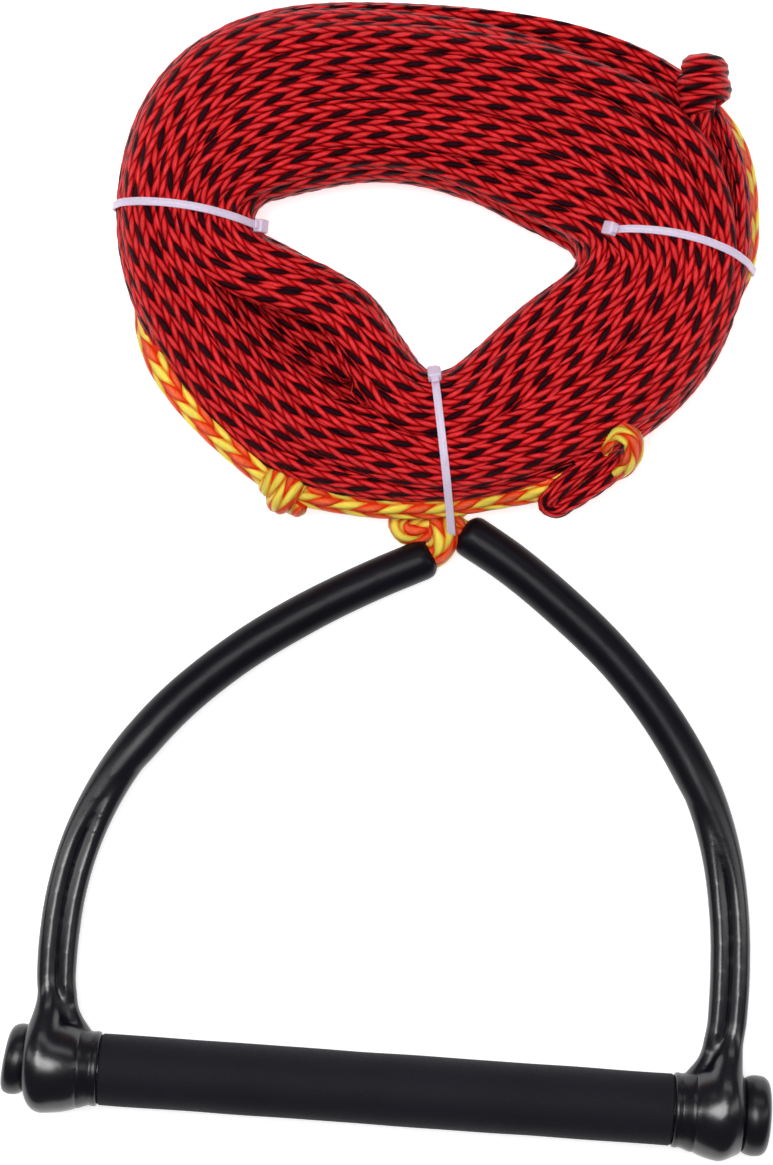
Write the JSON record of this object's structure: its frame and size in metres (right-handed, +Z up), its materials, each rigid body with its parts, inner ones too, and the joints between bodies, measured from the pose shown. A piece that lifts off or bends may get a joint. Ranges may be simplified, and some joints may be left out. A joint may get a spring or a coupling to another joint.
{
  "type": "tow rope handle",
  "caption": "Water-ski tow rope handle: foam-gripped bar, dipped V bridle and a tied coil of braided tow line.",
  "frame": {"origin": "on the surface the handle lies on, under the middle of the box of the bar and arms", "axes": "+X along the bar, +Y from the bar along the arms towards the tow line, +Z up off the surface"},
  "size_m": [0.3456, 0.5126, 0.0479],
  "materials": {
    "bar_aluminium": "satin",
    "grip_foam": "matte",
    "plug_plastic": "satin",
    "collar_rubber": "satin",
    "dipped_vinyl": "gloss",
    "sleeve_vinyl": "satin",
    "handle_rope": "satin",
    "main_rope": "satin",
    "tie_nylon": "satin"
  },
  "bodies": {
    "bar": {"bar_tube": "bar_aluminium", "grip_sleeve": "grip_foam", "end_plug_left": "plug_plastic", "collar_left": "collar_rubber", "boot_left": "dipped_vinyl", "eye_rope_left": "handle_rope", "end_plug_right": "plug_plastic", "collar_right": "collar_rubber", "boot_right": "dipped_vinyl", "eye_rope_right": "handle_rope"},
    "bridle": {"leg_cover_left": "dipped_vinyl", "arm_sleeve_left": "sleeve_vinyl", "leg_rope_left": "handle_rope", "leg_cover_right": "dipped_vinyl", "arm_sleeve_right": "sleeve_vinyl", "leg_rope_right": "handle_rope"},
    "coil": {"cable_tie_left": "tie_nylon", "cable_tie_right": "tie_nylon", "cable_tie_bottom": "tie_nylon", "mainline_hank": "main_rope", "mainline_eye": "main_rope", "tow_end_knot": "main_rope", "handle_section_rope": "handle_rope", "handle_section_knot": "handle_rope", "handle_section_end": "handle_rope", "handle_section_eye": "handle_rope", "bridle_knot": "handle_rope"}
  },
  "joints": [
    {"name": "bridle_flex", "type": "hinge", "parent": "bar", "child": "bridle", "pos_m": [0, -0.08926, 0.0216], "axis": [1, 0, 0], "range_deg": [0, 40], "stiffness_Nm_per_rad": 0.3},
    {"name": "coil_swing", "type": "hinge", "parent": "bridle", "child": "coil", "pos_m": [0, 0.13774, 0.0205], "axis": [1, 0, 0], "range_deg": [0, 90]}
  ]
}
